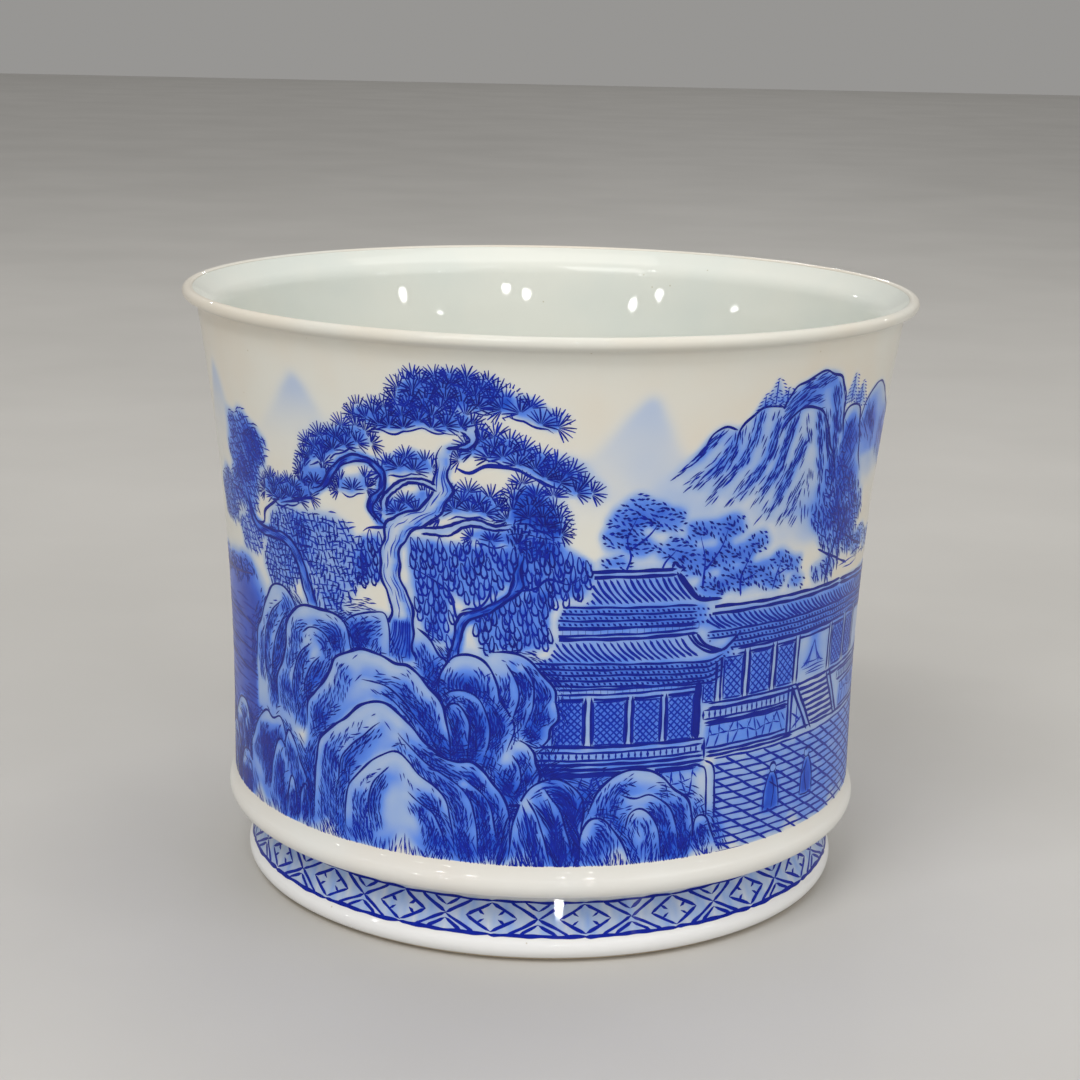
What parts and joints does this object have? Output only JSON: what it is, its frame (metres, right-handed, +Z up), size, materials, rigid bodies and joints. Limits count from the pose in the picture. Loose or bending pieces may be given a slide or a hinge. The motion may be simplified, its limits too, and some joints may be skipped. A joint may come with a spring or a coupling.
{
  "type": "brush holder pot",
  "caption": "Round porcelain brush pot with a flared rim, a rounded moulding and a low foot, painted in cobalt blue with a garden landscape; it holds brushes and pens upright.",
  "frame": {"origin": "centre of the ring that the pot stands on, at table height", "axes": "+Z up along the pot's axis; the painting's middle faces -Y"},
  "size_m": [0.125, 0.125, 0.1021],
  "materials": {
    "porcelain_clay": "white fired porcelain",
    "bare_clay": "bare fired porcelain, satin",
    "joint_slip": "fired slip",
    "clear_glaze": "glossy clear glaze on white porcelain",
    "inner_glaze": "glossy clear glaze on white porcelain",
    "foot_glaze": "glossy clear glaze on white porcelain",
    "underside_glaze": "glossy clear glaze on white porcelain",
    "cobalt_landscape": "cobalt blue brushwork under glaze",
    "cobalt_band": "cobalt blue brushwork under glaze"
  },
  "bodies": {
    "root": {"body_wall": "porcelain_clay", "floor_disc": "porcelain_clay", "foot_ring": "bare_clay", "wall_joint_slip": "joint_slip", "foot_joint_slip": "joint_slip", "outer_glaze": "clear_glaze", "inner_glaze": "inner_glaze", "foot_glaze": "foot_glaze", "underside_glaze": "underside_glaze", "landscape_painting": "cobalt_landscape", "foot_band_painting": "cobalt_band"}
  },
  "joints": []
}
